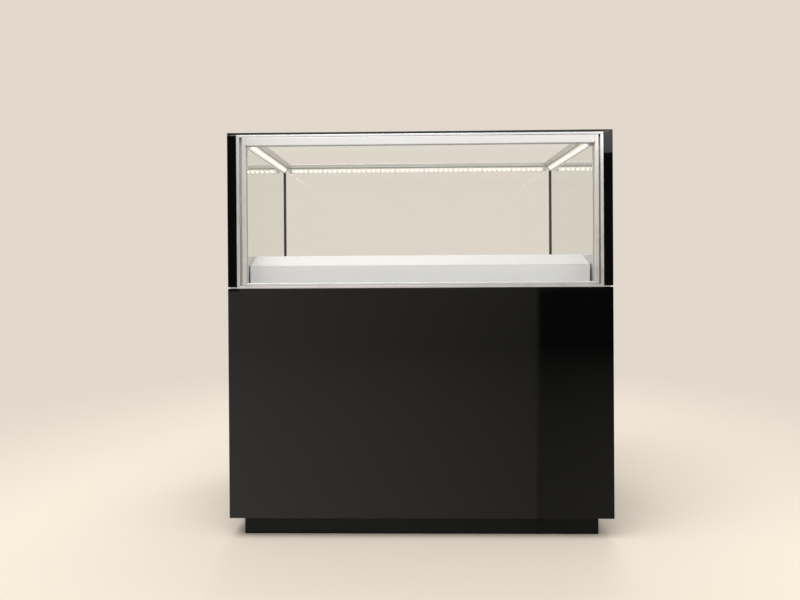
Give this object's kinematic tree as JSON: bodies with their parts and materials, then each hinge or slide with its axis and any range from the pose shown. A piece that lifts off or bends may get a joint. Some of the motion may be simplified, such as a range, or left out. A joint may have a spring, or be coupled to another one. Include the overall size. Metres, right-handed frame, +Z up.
{
  "type": "pedestal display case",
  "caption": "Free-standing display case: lit glass vitrine with a hinged front door and a bevelled deck, on a gloss black cupboard with rear doors.",
  "frame": {"origin": "on the floor, under the middle of the case", "axes": "+Z up, +X along the width to the right as seen from the front, front face towards -Y"},
  "size_m": [1, 0.55, 1.06],
  "materials": {
    "gloss_black": "high-gloss black lacquer on fibreboard",
    "matt_black": "matt black laminate on fibreboard",
    "white_lacquer": "smooth satin white lacquer on fibreboard",
    "aluminium": "satin anodised",
    "steel": "satin nickel",
    "clear_glass": "clear float glass, polished",
    "mirror": "silvered glass",
    "black_rubber": "matt",
    "led_strip": "lit diodes under a clear skin",
    "black_plastic": "fine moulded grain",
    "pale_case": "satin moulded case"
  },
  "bodies": {
    "root": {"plinth_front": "matt_black", "plinth_rear": "matt_black", "plinth_left": "matt_black", "plinth_right": "matt_black", "base_bottom": "gloss_black", "base_top": "gloss_black", "base_rear_rail": "gloss_black", "base_front_panel": "gloss_black", "base_shelf": "matt_black", "base_side_left": "gloss_black", "base_side_right": "gloss_black", "power_inlet": "black_plastic", "led_driver": "pale_case", "led_lead": "black_rubber", "base_plate": "aluminium", "side_panel_left": "gloss_black", "side_panel_right": "gloss_black", "mirror_left": "mirror", "mirror_right": "mirror", "jamb_left": "aluminium", "jamb_right": "aluminium", "head_jamb": "aluminium", "rear_seal_left": "black_rubber", "rear_seal_right": "black_rubber", "rear_glass": "clear_glass", "top_glass": "clear_glass", "door_catch": "steel", "top_rail_front": "aluminium", "top_rail_rear": "aluminium", "top_rail_left": "aluminium", "top_rail_right": "aluminium", "led_channel_left": "aluminium", "led_channel_right": "aluminium", "led_channel_rear": "aluminium", "led_strip_left": "led_strip", "led_strip_right": "led_strip", "led_strip_rear": "led_strip", "deck_board": "white_lacquer", "deck_riser_front": "white_lacquer", "deck_riser_rear": "white_lacquer", "deck_riser_left": "white_lacquer", "deck_riser_right": "white_lacquer"},
    "front_door": {"door_stile_left": "aluminium", "door_stile_right": "aluminium", "door_rail_lower": "aluminium", "door_rail_upper": "aluminium", "door_glass": "clear_glass", "door_pin_lower": "steel", "door_pin_upper": "steel"},
    "rear_door_left": {"rear_door_left": "gloss_black", "rear_pin_left_lower": "steel", "rear_pin_left_upper": "steel", "knob_left": "steel"},
    "rear_door_right": {"rear_door_right": "gloss_black", "rear_pin_right_lower": "steel", "rear_pin_right_upper": "steel", "knob_right": "steel", "lock_housing": "steel"},
    "lock_cam": {"lock_cam": "steel"},
    "power_rocker": {"power_rocker": "black_plastic"}
  },
  "joints": [
    {"name": "front_door_hinge", "type": "hinge", "parent": "root", "child": "front_door", "pos_m": [-0.457, -0.269, 0.8535], "axis": [0, 0, -1], "range_deg": [0, 100]},
    {"name": "rear_door_left_hinge", "type": "hinge", "parent": "root", "child": "rear_door_left", "pos_m": [-0.4705, 0.243, 0.324], "axis": [0, 0, 1], "range_deg": [0, 95]},
    {"name": "rear_door_right_hinge", "type": "hinge", "parent": "root", "child": "rear_door_right", "pos_m": [0.4705, 0.243, 0.324], "axis": [0, 0, -1], "range_deg": [0, 95]},
    {"name": "lock_turn", "type": "hinge", "parent": "rear_door_right", "child": "lock_cam", "pos_m": [0.0595, 0.239, 0.55], "axis": [0, -1, 0], "range_deg": [0, 90]},
    {"name": "rocker_tilt", "type": "hinge", "parent": "root", "child": "power_rocker", "pos_m": [-0.284, 0.2498, 0.606], "axis": [1, 0, 0], "range_deg": [0, 14]}
  ]
}
